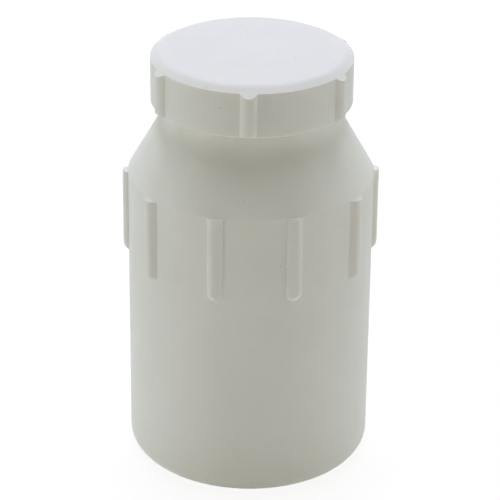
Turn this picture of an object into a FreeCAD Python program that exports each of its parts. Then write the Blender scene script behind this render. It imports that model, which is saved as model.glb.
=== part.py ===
"""Wide-neck reagent bottle in white fluoropolymer, with a ribbed body and a ribbed screw cap.

Frame: +Z up, the origin at the middle of the base, on the surface that the bottle stands on. The bottle's mould
opens along Y, so the grip ribs of the body are drawn in the XZ plane and drawn out along Y. Millimetres.
"""

import FreeCAD, Part
import math
import os

import Sketcher
from FreeCAD import Vector

DIMENSIONS = {
    # Body, from the standing ring to the rim
    "body_radius": 53.0,
    "shoulder_height": 132.7,
    "neck_radius": 34.2,
    "neck_foot_height": 165.9,
    "rim_height": 181.1,
    "mouth_radius": 29.2,
    "wall": 5.0,
    "floor_height": 7.0,
    "base_corner": 8.2,
    "standing_radius": 47.0,
    "standing_rise": 3.5,
    "floor_bevel": 5.0,
    "rim_bevel": 0.8,
    "recess_depth": 1.6,
    "recess_radius": 39.0,
    "recess_slope": 3.0,
    # Grip ribs of the body
    "rib_top_drop": 0.15,
    "rib_width": 7.6,
    "rib_rounding": 2.5,
    "front_rib_flank": 19.9,
    "front_rib_face": 51.9,
    "front_rib_foot": 94.0,
    "corner_rib_flank": 45.65,
    "corner_rib_face": 34.0,
    "corner_rib_foot": 94.9,
    "side_rib_flank": 55.3,
    "side_rib_face": 2.9,
    "side_rib_foot": 93.9,
    "side_rib_width": 9.0,
    # Screw cap
    "cap_radius": 43.1,
    "cap_length": 22.1,
    "cap_foot_height": 165.2,
    "cap_bore": 37.0,
    "cap_lead_in": 1.0,
    "cap_foot_edge": 0.6,
    "bevel_run": 3.8,
    "bevel_drop": 2.25,
    "bevel_blend": 6.0,
    "cap_rib_radius": 3.8,
    "cap_rib_reach": 2.3,
    "cap_rib_foot_rise": 1.0,
    "cap_rib_count": 6,
    "cap_rest_angle": -3.9,
    # Sealing disc between the rim and the cap
    "disc_radius": 36.0,
    "disc_thickness": 2.0,
}

START, END, CENTRE = 1, 2, 3
ORIGIN, ACROSS_AXIS, UP_AXIS = -1, -1, -2
NEAR = 1e-3
PAST = 2.0


def dimension_sheet(doc):
    """Spreadsheet with one aliased cell for each driving dimension."""
    sheet = doc.addObject("Spreadsheet::Sheet", "size")
    for row, (alias, value) in enumerate(DIMENSIONS.items(), 1):
        sheet.set(f"A{row}", alias)
        sheet.set(f"B{row}", str(value))
        sheet.setAlias(f"B{row}", alias)
    doc.recompute()
    return sheet


def measure(item, expression):
    """Number that an expression of the dimensions gives now."""
    return float(item.evalExpression(expression))


def origin_plane(body, role):
    return next(plane for plane in body.Origin.OriginFeatures if plane.Role == role)


def sketch_on(body, name, role):
    """Empty sketch on one of the body's own origin planes."""
    sketch = body.newObject("Sketcher::SketchObject", name)
    sketch.AttachmentSupport = (origin_plane(body, role), "")
    sketch.MapMode = "FlatFace"
    return sketch


def hold(sketch, kind, expression, *elements):
    """Dimension in a sketch, bound to an expression."""
    constraint = Sketcher.Constraint(kind, *elements, measure(sketch, expression))
    number = sketch.addConstraint(constraint)
    sketch.setExpression(f"Constraints[{number}]", expression)


def hold_point(sketch, line, end, across, up):
    """Hold a point at its two expressions, or on an axis where the expression is 0."""
    for kind, expression, axis in (("DistanceX", across, UP_AXIS), ("DistanceY", up, ACROSS_AXIS)):
        if expression == "0":
            sketch.addConstraint(Sketcher.Constraint("PointOnObject", line, end, axis))
        else:
            hold(sketch, kind, expression, ORIGIN, START, line, end)


def round_corner(sketch, line, expression):
    """Round the corner at a line's start with a tangent arc, and keep the corner itself as a held point."""
    arc = sketch.GeometryCount
    sketch.fillet(line, START, measure(sketch, expression), True, True)
    hold(sketch, "Radius", expression, arc)


def draw_outline(sketch, corners):
    """Closed outline with every corner held at its expressions, and rounded where a radius follows them."""
    points = [Vector(measure(sketch, across), measure(sketch, up), 0) for across, up, *_ in corners]
    following = points[1:] + points[:1]
    for here, there in zip(points, following):
        sketch.addGeometry(Part.LineSegment(here, there))
    for line in range(len(points)):
        after = (line + 1) % len(points)
        sketch.addConstraint(Sketcher.Constraint("Coincident", line, END, after, START))
    for line, (across, up, *_) in enumerate(corners):
        hold_point(sketch, line, START, across, up)
    for line, (_, _, *radius) in enumerate(corners):
        for expression in radius:
            round_corner(sketch, line, expression)


def turned(body, kind, name, corners):
    """Revolution or Groove of an outline of (radius, height) corners about the body's own axis."""
    sketch = sketch_on(body, f"{name}_outline", "XZ_Plane")
    draw_outline(sketch, corners)
    feature = body.newObject(f"PartDesign::{kind}", name)
    feature.Profile = sketch
    feature.ReferenceAxis = (sketch, ["V_Axis"])
    feature.Angle = 360
    body.Document.recompute()
    if kind == "Groove" and feature.Shape.Volume > feature.BaseFeature.Shape.Volume - NEAR:
        raise RuntimeError(f"{name} removes nothing")
    return feature


def rounded(body, kind, name, chosen, size_property, expression):
    """Fillet or Chamfer of the tip's edges that the test chooses."""
    base = body.Tip
    edges = [f"Edge{number}" for number, edge in enumerate(base.Shape.Edges, 1) if chosen(edge)]
    if not edges:
        raise RuntimeError(f"{name} finds no edge")
    feature = body.newObject(f"PartDesign::{kind}", name)
    feature.Base = (base, edges)
    feature.setExpression(size_property, expression)
    body.Document.recompute()
    return feature


def ring_at(radius, height):
    """Test for round edges of one radius at one height."""

    def chosen(edge):
        box = edge.BoundBox
        level = abs(box.ZMin - height) < NEAR and abs(box.ZMax - height) < NEAR
        point = edge.Vertexes[0].Point
        return level and abs(point.x**2 + point.y**2 - radius**2) < NEAR * radius

    return chosen


def rib_outline(sketch, flank, width, foot, top):
    """Upright tongue, with its outer flank held, a square top and a half-round foot."""
    x_out = measure(sketch, flank)
    x_in = x_out - measure(sketch, width)
    z_top = measure(sketch, top)
    bend = (x_out - x_in) / 2
    z_bend = measure(sketch, foot) + bend
    middle = Vector(x_out - bend, z_bend, 0)
    outer = sketch.addGeometry(Part.LineSegment(Vector(x_out, z_top, 0), Vector(x_out, z_bend, 0)))
    circle = Part.Circle(middle, Vector(0, 0, 1), bend)
    foot_arc = sketch.addGeometry(Part.ArcOfCircle(circle, math.pi, 2 * math.pi))
    inner = sketch.addGeometry(Part.LineSegment(Vector(x_in, z_bend, 0), Vector(x_in, z_top, 0)))
    lid = sketch.addGeometry(Part.LineSegment(Vector(x_in, z_top, 0), Vector(x_out, z_top, 0)))
    sketch.addConstraint(Sketcher.Constraint("Tangent", outer, END, foot_arc, END))
    sketch.addConstraint(Sketcher.Constraint("Tangent", foot_arc, START, inner, START))
    sketch.addConstraint(Sketcher.Constraint("Coincident", inner, END, lid, START))
    sketch.addConstraint(Sketcher.Constraint("Coincident", lid, END, outer, START))
    sketch.addConstraint(Sketcher.Constraint("Vertical", outer))
    sketch.addConstraint(Sketcher.Constraint("Vertical", inner))
    sketch.addConstraint(Sketcher.Constraint("Horizontal", lid))
    hold_point(sketch, outer, START, flank, top)
    hold(sketch, "Radius", f"{width} / 2", foot_arc)
    hold(sketch, "DistanceY", f"{foot} + {width} / 2", ORIGIN, START, foot_arc, CENTRE)


def grip_ribs(body):
    """Ribs of one side, each drawn through the bottle along the mould's opening, and their mirror images."""
    top = "size.shoulder_height - size.rib_top_drop"
    for place, width in (("front", "rib_width"), ("corner", "rib_width"), ("side", "side_rib_width")):
        sketch = sketch_on(body, f"{place}_rib_outline", "XZ_Plane")
        rib_outline(sketch, f"size.{place}_rib_flank", f"size.{width}", f"size.{place}_rib_foot", top)
        rib = body.newObject("PartDesign::Pad", f"{place}_rib")
        rib.Profile = sketch
        rib.SideType = "Symmetric"
        rib.setExpression("Length", f"2 * size.{place}_rib_face")
        body.Document.recompute()
    z_top = measure(body, top)

    def on_a_face_below_the_top(edge):
        box = edge.BoundBox
        return box.YLength < NEAR and abs(box.YMin) > NEAR and box.ZMin < z_top - NEAR

    rounded(body, "Fillet", "rib_edges", on_a_face_below_the_top, "Radius", "size.rib_rounding")
    mirror = body.newObject("PartDesign::Mirrored", "ribs_of_the_other_side")
    mirror.TransformMode = "Whole shape"
    mirror.MirrorPlane = (origin_plane(body, "YZ_Plane"), [""])
    body.Tip = mirror
    body.Document.recompute()


def bottle_body(doc):
    """Thick-walled bottle: grip ribs, a cylinder, a straight shoulder cone and a wide neck."""
    body = doc.addObject("PartDesign::Body", "bottle_body")
    body.AllowCompound = True
    grip_ribs(body)
    turned(
        body,
        "Revolution",
        "outside",
        [
            ("0", "0"),
            ("size.standing_radius", "0"),
            ("size.body_radius", "size.standing_rise", "size.base_corner"),
            ("size.body_radius", "size.shoulder_height"),
            ("size.neck_radius", "size.neck_foot_height"),
            ("size.neck_radius", "size.rim_height"),
            ("0", "size.rim_height"),
        ],
    )
    run = "(size.body_radius - size.neck_radius)"
    rise = "(size.neck_foot_height - size.shoulder_height)"
    wall_across = f"size.wall * sqrt({run} ^ 2 + {rise} ^ 2) / {rise}"
    inner_radius = "(size.body_radius - size.wall)"
    per_radius = f"{rise} / {run}"
    shoulder_inside = f"size.shoulder_height - ({wall_across} - size.wall) * {per_radius}"
    mouth_foot = f"size.shoulder_height + (size.body_radius - {wall_across} - size.mouth_radius) * {per_radius}"
    turned(
        body,
        "Groove",
        "inside",
        [
            ("0", "size.floor_height"),
            (inner_radius, "size.floor_height"),
            (inner_radius, shoulder_inside),
            ("size.mouth_radius", mouth_foot),
            ("size.mouth_radius", f"size.rim_height + {PAST}"),
            ("0", f"size.rim_height + {PAST}"),
        ],
    )
    floor_ring = ring_at(measure(body, inner_radius), measure(body, "size.floor_height"))
    rounded(body, "Chamfer", "floor_edge", floor_ring, "Size", "size.floor_bevel")
    turned(
        body,
        "Groove",
        "base_recess",
        [
            ("0", "0"),
            ("size.recess_radius", "0"),
            ("size.recess_radius - size.recess_slope", "size.recess_depth"),
            ("0", "size.recess_depth"),
        ],
    )
    rim_height = measure(body, "size.rim_height")
    rim_outside = ring_at(measure(body, "size.neck_radius"), rim_height)
    rim_inside = ring_at(measure(body, "size.mouth_radius"), rim_height)

    def on_the_rim(edge):
        return rim_outside(edge) or rim_inside(edge)

    rounded(body, "Chamfer", "rim_edges", on_the_rim, "Size", "size.rim_bevel")
    return body


def round_pad(body, name, radius, offset, length):
    """Round pad on the body's foot plane, its centre pushed out towards -Y by the offset."""
    sketch = sketch_on(body, f"{name}_outline", "XY_Plane")
    centre = Vector(0, -measure(sketch, offset), 0)
    circle = sketch.addGeometry(Part.Circle(centre, Vector(0, 0, 1), measure(sketch, radius)))
    sketch.addConstraint(Sketcher.Constraint("PointOnObject", circle, CENTRE, UP_AXIS))
    if offset == "0":
        sketch.addConstraint(Sketcher.Constraint("PointOnObject", circle, CENTRE, ACROSS_AXIS))
    else:
        hold(sketch, "DistanceY", offset, circle, CENTRE, ORIGIN, START)
    hold(sketch, "Radius", radius, circle)
    pad = body.newObject("PartDesign::Pad", name)
    pad.Profile = sketch
    pad.setExpression("Length", length)
    body.Document.recompute()
    return pad


def screw_cap(doc):
    """Flat cap with half-round grip ribs, cut by a bevel above and a slope below, and a plain bore for the thread."""
    body = doc.addObject("PartDesign::Body", "screw_cap")
    round_pad(body, "drum", "size.cap_radius", "0", "size.cap_length")
    rib_centre = "size.cap_radius + size.cap_rib_reach - size.cap_rib_radius"
    rib = round_pad(body, "rib", "size.cap_rib_radius", rib_centre, "size.cap_length")
    ribs = body.newObject("PartDesign::PolarPattern", "ribs")
    ribs.Originals = [rib]
    ribs.Axis = (rib.Profile[0], ["N_Axis"])
    ribs.Angle = 360
    ribs.setExpression("Occurrences", "size.cap_rib_count")
    body.Tip = ribs
    doc.recompute()
    bevel_start = "size.cap_radius - size.bevel_run"
    reach = f"size.cap_radius + size.cap_rib_reach + {PAST}"
    fall = f"(size.bevel_run + size.cap_rib_reach + {PAST}) * size.bevel_drop / size.bevel_run"
    turned(
        body,
        "Groove",
        "bevel",
        [
            (bevel_start, "size.cap_length"),
            (reach, f"size.cap_length - {fall}"),
            (reach, f"size.cap_length + {PAST}"),
            (bevel_start, f"size.cap_length + {PAST}"),
        ],
    )
    top_edge = ring_at(measure(body, bevel_start), measure(body, "size.cap_length"))
    rounded(body, "Fillet", "top_edge", top_edge, "Radius", "size.bevel_blend")
    edge_start = "size.cap_radius - size.cap_foot_edge"
    climb = f"(size.cap_rib_reach + {PAST}) * size.cap_rib_foot_rise / size.cap_rib_reach"
    turned(
        body,
        "Groove",
        "foot_edge",
        [
            (edge_start, "0"),
            ("size.cap_radius", "size.cap_foot_edge"),
            (reach, f"size.cap_foot_edge + {climb}"),
            (reach, f"0 - {PAST}"),
            (edge_start, f"0 - {PAST}"),
        ],
    )
    ceiling = "size.rim_height + size.disc_thickness - size.cap_foot_height"
    turned(
        body,
        "Groove",
        "bore",
        [
            ("0", f"0 - {PAST}"),
            ("size.cap_bore", f"0 - {PAST}"),
            ("size.cap_bore", ceiling),
            ("0", ceiling),
        ],
    )
    bore_mouth = ring_at(measure(body, "size.cap_bore"), 0)
    rounded(body, "Chamfer", "lead_in", bore_mouth, "Size", "size.cap_lead_in")
    body.setExpression("Placement.Base.z", "size.cap_foot_height")
    body.setExpression("Placement.Rotation.Angle", "size.cap_rest_angle")
    return body


def sealing_disc(doc):
    """Loose flat disc that lies in the cap and seals on the rim."""
    body = doc.addObject("PartDesign::Body", "sealing_disc")
    round_pad(body, "disc", "size.disc_radius", "0", "size.disc_thickness")
    body.setExpression("Placement.Base.z", "size.rim_height")
    return body


def check(doc, pieces):
    """Stop on any failed feature or bad solid."""
    for item in doc.Objects:
        if {"Invalid", "Error"} & set(item.State):
            raise RuntimeError(f"{item.Label} failed: {item.State}")
    for piece in pieces:
        if piece.Shape.isNull() or not piece.Shape.isValid() or len(piece.Shape.Solids) != 1:
            raise RuntimeError(f"{piece.Label} isn't one valid solid")


def main():
    doc = FreeCAD.newDocument("reagent_bottle")
    dimension_sheet(doc)
    pieces = [bottle_body(doc), screw_cap(doc), sealing_disc(doc)]
    doc.recompute()
    check(doc, pieces)
    os.makedirs("parts", exist_ok=True)
    for piece in pieces:
        piece.Shape.exportStep(f"parts/{piece.Label}.step")
        print(piece.Label, f"{piece.Shape.Volume / 1000:.1f} cm3", piece.Shape.BoundBox)


main()
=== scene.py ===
"""Looks of a wide-neck reagent bottle in thick, waxy white plastic, with a ribbed screw cap.

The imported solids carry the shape. This script adds the two screw threads, the finish of every
surface, a white studio and the camera.
"""

import math

import bmesh
import bpy
from mathutils import Matrix, Vector


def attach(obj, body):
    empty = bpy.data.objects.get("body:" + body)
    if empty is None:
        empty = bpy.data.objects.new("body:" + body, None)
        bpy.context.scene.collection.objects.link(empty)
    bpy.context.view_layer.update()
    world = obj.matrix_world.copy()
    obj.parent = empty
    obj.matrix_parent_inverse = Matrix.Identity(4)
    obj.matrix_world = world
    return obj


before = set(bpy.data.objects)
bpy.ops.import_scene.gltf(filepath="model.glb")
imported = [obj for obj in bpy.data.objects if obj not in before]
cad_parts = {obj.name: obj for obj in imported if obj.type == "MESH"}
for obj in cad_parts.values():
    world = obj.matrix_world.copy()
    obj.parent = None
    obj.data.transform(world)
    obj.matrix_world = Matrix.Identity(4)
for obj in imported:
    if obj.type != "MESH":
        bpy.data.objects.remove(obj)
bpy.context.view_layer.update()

MM = 0.001
FULL_TURN = 2 * math.pi
WHITE = (1, 1, 1, 1)

# Camera: the picture is a square of PHOTO_SIDE pixels, and the focal length is in the same pixels.
PHOTO_SIDE = 500
FOCAL_LENGTH = 2485.93
SENSOR_WIDTH = 36.0
NEAR_CLIP = 50 * MM
# It stands this far from the bottle's axis, this high above its base and this far left of its front.
CAMERA_DISTANCE = 977.65 * MM
CAMERA_HEIGHT = 573.84 * MM
CAMERA_STAND = math.radians(2.2)
# From there it looks almost at the axis, and down, and leans a little.
CAMERA_HEADING = math.radians(2.1954)
CAMERA_PITCH = math.radians(26.1745)
CAMERA_ROLL = math.radians(0.5922)

# Screw: a right-hand ridge on the neck, and the cap's own ridge half a pitch above it.
THREAD_PITCH = 6.0 * MM
THREAD_ANGLE = 1.6 * FULL_TURN
THREAD_WIDTH = 3.2 * MM
THREAD_HEIGHT = 2.0 * MM
THREAD_SUNK = 0.3 * MM
# A higher power gives the ridge a flatter top.
THREAD_POWER = 3.0
# At each end the ridge runs out over the fade angle.
THREAD_FADE = math.radians(45)
# The mesh has a row of points at each step, with this many on each half of the ridge beside its top.
THREAD_STEP = math.radians(3)
THREAD_HALF_POINTS = 4
NECK_RADIUS = 34.2 * MM
NECK_THREAD_START = 0.0
NECK_THREAD_FOOT = 169.2 * MM
CAP_BORE_RADIUS = 37.0 * MM
CAP_THREAD_START = -FULL_TURN / 3
CAP_THREAD_FOOT = NECK_THREAD_FOOT + THREAD_PITCH * (1 / 2 + CAP_THREAD_START / FULL_TURN)

# Plastic: light reaches SCATTER_DEPTH into it, times a share for each of red, green and blue.
PLASTIC_IOR = 1.38
SCATTER_WEIGHT = 0.6
SCATTER_DEPTH = 3.0 * MM
SCATTER_SHARES = (1.0, 0.92, 0.8)
BOTTLE_COLOUR = (0.84, 0.84, 0.825)
CAP_COLOUR = (0.835, 0.835, 0.825)
DISC_COLOUR = (0.86, 0.86, 0.85)
MOULDED_ROUGHNESS = 0.45
DISC_ROUGHNESS = 0.35
# Each noise is its cells per metre, its detail and the strength of the finer detail.
CLOUD_NOISE = (45, 6, 0.62)
GLOSS_NOISE = (160, 4, 0.5)
GRAIN_NOISE = (900, 5, 0.6)
# Most of a noise lies between these values.
NOISE_LOW = 0.3
NOISE_HIGH = 0.7
CLOUD_SHADE = 0.972
GLOSS_SPREAD = 0.05
GRAIN_STRENGTH = 0.18
GRAIN_DEPTH = 0.3 * MM
# A few faint specks of dust, each with a darker core.
SPECK_RADIUS = 0.4 * MM
SPECK_CORE = 0.2 * MM
SPECK_SHADE = 0.6
SPECK_SPACING = 18.0 * MM
CAP_SPECK_SPACING = 7.0 * MM

# Studio, in metres: a dim light from all round, and a floor with a white glow in it.
ROOM_TINT = (1.0, 0.95, 0.9)
ROOM_STRENGTH = 0.01
FLOOR_SIDE = 8.0
FLOOR_SHADE = (0.92, 0.92, 0.92)
FLOOR_GLOW = 1.1
# Up to FLOOR_NEAR the glow has this share of the floor, and from FLOOR_FAR on it has all of it.
FLOOR_GLOW_SHARE = 0.8
FLOOR_NEAR = 0.3
FLOOR_FAR = 0.9
LAMP_DISTANCE = 1.4
LAMP_TARGET = Vector((0, 0, 0.1))
# The light from above and behind is a little cool, the side light nearly plain and the front light warm.
KEY_TINT = (0.895, 0.91, 1.0)
SIDE_TINT = (0.94, 1.0, 0.87)
FRONT_TINT = (1.0, 0.9, 0.62)


def new_material(name):
    """A material with an empty node tree, as (material, tree)."""
    made = bpy.data.materials.new(name)
    made.use_nodes = True
    made.node_tree.nodes.clear()
    return made, made.node_tree


def add_node(tree, kind, values=None, operation=None):
    """A new node, with some of its inputs set by name."""
    made = tree.nodes.new(kind)
    if operation:
        made.operation = operation
    for socket, value in (values or {}).items():
        made.inputs[socket].default_value = value
    return made


def mixed(tree, share, first, second):
    """Two shaders mixed, with this share of the second one."""
    mix = add_node(tree, "ShaderNodeMixShader")
    tree.links.new(share, mix.inputs["Fac"])
    tree.links.new(first, mix.inputs[1])
    tree.links.new(second, mix.inputs[2])
    return mix.outputs["Shader"]


def noise(tree, place, kind):
    """One of the noises named above, in the object's own space."""
    scale, detail, roughness = kind
    made = add_node(tree, "ShaderNodeTexNoise", {"Scale": scale, "Detail": detail, "Roughness": roughness})
    tree.links.new(place, made.inputs["Vector"])
    return made.outputs["Fac"]


def clouded(tree, place, colour):
    """The colour, a little darker in soft clouds."""
    ramp = add_node(tree, "ShaderNodeValToRGB")
    dark, light = ramp.color_ramp.elements
    dark.position = NOISE_LOW
    dark.color = (*(CLOUD_SHADE * part for part in colour), 1)
    light.position = NOISE_HIGH
    light.color = (*colour, 1)
    tree.links.new(noise(tree, place, CLOUD_NOISE), ramp.inputs["Fac"])
    return ramp.outputs["Color"]


def dusty(tree, place, tint, spacing):
    """The tint, darker in round specks that lie about this far apart."""
    cells = add_node(tree, "ShaderNodeTexVoronoi", {"Scale": 1 / spacing})
    tree.links.new(place, cells.inputs["Vector"])
    clean = add_node(tree, "ShaderNodeMapRange", {
        "From Min": SPECK_CORE / spacing,
        "From Max": SPECK_RADIUS / spacing,
        "To Min": SPECK_SHADE,
    })
    tree.links.new(cells.outputs["Distance"], clean.inputs["Value"])
    skin = add_node(tree, "ShaderNodeVectorMath", operation="SCALE")
    tree.links.new(tint, skin.inputs["Vector"])
    tree.links.new(clean.outputs["Result"], skin.inputs["Scale"])
    return skin.outputs["Vector"]


def uneven(tree, place, roughness):
    """The roughness, which varies a little over the surface."""
    spread = add_node(tree, "ShaderNodeMapRange", {
        "From Min": NOISE_LOW,
        "From Max": NOISE_HIGH,
        "To Min": roughness - GLOSS_SPREAD,
        "To Max": roughness + GLOSS_SPREAD,
    })
    tree.links.new(noise(tree, place, GLOSS_NOISE), spread.inputs["Value"])
    return spread.outputs["Result"]


def grained(tree, place):
    """The surface's normal, with a fine moulded grain."""
    bump = add_node(tree, "ShaderNodeBump", {"Strength": GRAIN_STRENGTH, "Distance": GRAIN_DEPTH})
    tree.links.new(noise(tree, place, GRAIN_NOISE), bump.inputs["Height"])
    return bump.outputs["Normal"]


def waxy_plastic(name, colour, roughness, speck_spacing):
    """White fluoropolymer: satin, softened by light inside it, faintly clouded, with a few specks."""
    made, tree = new_material(name)
    place = add_node(tree, "ShaderNodeTexCoord").outputs["Object"]
    shader = add_node(tree, "ShaderNodeBsdfPrincipled", {
        "IOR": PLASTIC_IOR,
        "Subsurface Weight": SCATTER_WEIGHT,
        "Subsurface Radius": SCATTER_SHARES,
        "Subsurface Scale": SCATTER_DEPTH,
    })
    tint = clouded(tree, place, colour)
    tree.links.new(dusty(tree, place, tint, speck_spacing), shader.inputs["Base Color"])
    tree.links.new(uneven(tree, place, roughness), shader.inputs["Roughness"])
    tree.links.new(grained(tree, place), shader.inputs["Normal"])
    output = add_node(tree, "ShaderNodeOutputMaterial")
    tree.links.new(shader.outputs["BSDF"], output.inputs["Surface"])
    return made


def seen_directly(tree):
    """1 for a ray from the camera, or for one mirrored or let through, which shows the background."""
    path = add_node(tree, "ShaderNodeLightPath")
    total = path.outputs["Is Camera Ray"]
    for kind in ("Is Glossy Ray", "Is Transmission Ray"):
        either = add_node(tree, "ShaderNodeMath", operation="MAXIMUM")
        tree.links.new(total, either.inputs[0])
        tree.links.new(path.outputs[kind], either.inputs[1])
        total = either.outputs["Value"]
    return total


def white_world():
    """A white background, and a dim all-round light of its own."""
    world = bpy.data.worlds.new("studio")
    world.use_nodes = True
    tree = world.node_tree
    tree.nodes.clear()
    room = add_node(tree, "ShaderNodeBackground", {"Color": (*ROOM_TINT, 1), "Strength": ROOM_STRENGTH})
    backdrop = add_node(tree, "ShaderNodeBackground", {"Color": WHITE})
    both = mixed(tree, seen_directly(tree), room.outputs["Background"], backdrop.outputs["Background"])
    output = add_node(tree, "ShaderNodeOutputWorld")
    tree.links.new(both, output.inputs["Surface"])
    bpy.context.scene.world = world


def floor_material():
    """White like the background, but near the bottle with some of its own shading, the shadow."""
    made, tree = new_material("floor_white")
    matte = add_node(tree, "ShaderNodeBsdfDiffuse", {"Color": (*FLOOR_SHADE, 1)})
    backdrop = add_node(tree, "ShaderNodeEmission", {"Color": WHITE, "Strength": FLOOR_GLOW})
    away = add_node(tree, "ShaderNodeVectorMath", operation="LENGTH")
    tree.links.new(add_node(tree, "ShaderNodeTexCoord").outputs["Object"], away.inputs["Vector"])
    fade = add_node(tree, "ShaderNodeMapRange", {
        "From Min": FLOOR_NEAR,
        "From Max": FLOOR_FAR,
        "To Min": FLOOR_GLOW_SHARE,
    })
    tree.links.new(away.outputs["Value"], fade.inputs["Value"])
    share = add_node(tree, "ShaderNodeMath", operation="MULTIPLY")
    tree.links.new(seen_directly(tree), share.inputs[0])
    tree.links.new(fade.outputs["Result"], share.inputs[1])
    both = mixed(tree, share.outputs["Value"], matte.outputs["BSDF"], backdrop.outputs["Emission"])
    output = add_node(tree, "ShaderNodeOutputMaterial")
    tree.links.new(both, output.inputs["Surface"])
    return made


def white_floor():
    """The plain floor that the bottle stands on."""
    mesh = bpy.data.meshes.new("floor")
    half = FLOOR_SIDE / 2
    corners = [(-half, -half, 0), (half, -half, 0), (half, half, 0), (-half, half, 0)]
    mesh.from_pydata(corners, [], [(0, 1, 2, 3)])
    mesh.materials.append(floor_material())
    floor = bpy.data.objects.new("floor", mesh)
    bpy.context.collection.objects.link(floor)


def lamp(name, azimuth, elevation, side, power, tint):
    """A soft square lamp that faces the bottle, with its angles in degrees.

    Azimuth 0 is behind the bottle, 90 on the right in the picture and 180 at the camera.
    """
    light = bpy.data.lights.new(name, "AREA")
    light.size = side
    light.energy = power
    light.color = tint
    made = bpy.data.objects.new(name, light)
    turn, tilt = math.radians(azimuth), math.radians(elevation)
    towards = Vector((math.sin(turn) * math.cos(tilt), math.cos(turn) * math.cos(tilt), math.sin(tilt)))
    made.location = LAMP_TARGET + LAMP_DISTANCE * towards
    made.rotation_mode = "QUATERNION"
    made.rotation_quaternion = towards.to_track_quat("Z", "Y")
    bpy.context.collection.objects.link(made)


def camera():
    """The camera at the photograph's viewing angle."""
    data = bpy.data.cameras.new("camera")
    data.sensor_width = SENSOR_WIDTH
    data.lens = FOCAL_LENGTH / PHOTO_SIDE * SENSOR_WIDTH
    data.clip_start = NEAR_CLIP
    made = bpy.data.objects.new("camera", data)
    stand = (
        -CAMERA_DISTANCE * math.sin(CAMERA_STAND),
        -CAMERA_DISTANCE * math.cos(CAMERA_STAND),
        CAMERA_HEIGHT,
    )
    made.matrix_world = (
        Matrix.Translation(stand)
        @ Matrix.Rotation(-CAMERA_HEADING, 4, "Z")
        @ Matrix.Rotation(math.pi / 2 - CAMERA_PITCH, 4, "X")
        @ Matrix.Rotation(CAMERA_ROLL, 4, "Z")
    )
    bpy.context.collection.objects.link(made)
    bpy.context.scene.camera = made


def ridge_section(height, rise):
    """The outline across a thread, as pairs of a place from -1 to 1 and a distance out of the wall.

    The ridge is rooted in the wall, and comes out of it as rise goes from 0 to 1.
    """
    root = -math.copysign(THREAD_SUNK, height)
    crest = rise * (height - root)
    across = [step / THREAD_HALF_POINTS - 1 for step in range(2 * THREAD_HALF_POINTS + 1)]
    ridge = [(part, root + crest * (1 - abs(part) ** THREAD_POWER)) for part in across]
    return [(-1, 2 * root), *ridge, (1, 2 * root)]


def thread(name, wall, height, foot, start):
    """A rounded helical ridge on a round wall, which stands inwards where its height is negative."""
    steps = round(THREAD_ANGLE / THREAD_STEP)
    mesh = bmesh.new()
    rows = []
    for step in range(steps + 1):
        along = step / steps * THREAD_ANGLE
        to_end = min(along, THREAD_ANGLE - along)
        rise = (1 - math.cos(min(1.0, to_end / THREAD_FADE) * math.pi)) / 2
        level = foot + THREAD_PITCH * along / FULL_TURN
        turn = start + along
        row = []
        for part, stand in ridge_section(height, rise):
            radius = wall + stand
            z = level + part * THREAD_WIDTH / 2
            row.append(mesh.verts.new((radius * math.cos(turn), radius * math.sin(turn), z)))
        rows.append(row)
    count = len(rows[0])
    for row, after in zip(rows, rows[1:]):
        for place in range(count):
            beside = (place + 1) % count
            mesh.faces.new((row[place], row[beside], after[beside], after[place]))
    mesh.faces.new(reversed(rows[0]))
    mesh.faces.new(rows[-1])
    bmesh.ops.recalc_face_normals(mesh, faces=mesh.faces)
    data = bpy.data.meshes.new(name)
    mesh.to_mesh(data)
    mesh.free()
    data.polygons.foreach_set("use_smooth", [True] * len(data.polygons))
    made = bpy.data.objects.new(name, data)
    bpy.context.collection.objects.link(made)
    return made


# The finish of each solid
bottle_plastic = waxy_plastic("bottle_plastic", BOTTLE_COLOUR, MOULDED_ROUGHNESS, SPECK_SPACING)
cap_plastic = waxy_plastic("cap_plastic", CAP_COLOUR, MOULDED_ROUGHNESS, CAP_SPECK_SPACING)
disc_plastic = waxy_plastic("disc_plastic", DISC_COLOUR, DISC_ROUGHNESS, SPECK_SPACING)
for node, plastic in (
    ("bottle_body", bottle_plastic),
    ("screw_cap", cap_plastic),
    ("sealing_disc", disc_plastic),
):
    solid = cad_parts[node].data
    solid.materials.clear()
    solid.materials.append(plastic)

# The two threads, hidden while the cap is on
neck_thread = thread("neck_thread", NECK_RADIUS, THREAD_HEIGHT, NECK_THREAD_FOOT, NECK_THREAD_START)
neck_thread.data.materials.append(bottle_plastic)
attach(neck_thread, "bottle")

cap_thread = thread("cap_thread", CAP_BORE_RADIUS, -THREAD_HEIGHT, CAP_THREAD_FOOT, CAP_THREAD_START)
cap_thread.data.materials.append(cap_plastic)
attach(cap_thread, "cap")

# The studio
white_world()
white_floor()
lamp("overhead", azimuth=0, elevation=78, side=0.9, power=13.2, tint=KEY_TINT)
lamp("back", azimuth=0, elevation=45, side=0.9, power=4.5, tint=KEY_TINT)
lamp("left_back", azimuth=-60, elevation=10, side=0.4, power=1.55, tint=SIDE_TINT)
lamp("right_back", azimuth=60, elevation=10, side=0.4, power=1.55, tint=SIDE_TINT)
lamp("left", azimuth=-103, elevation=8, side=0.4, power=4.2, tint=SIDE_TINT)
lamp("right", azimuth=103, elevation=8, side=0.4, power=3.5, tint=SIDE_TINT)
lamp("front", azimuth=180, elevation=8, side=1.0, power=4.0, tint=FRONT_TINT)
camera()
bpy.context.scene.view_settings.view_transform = "Standard"
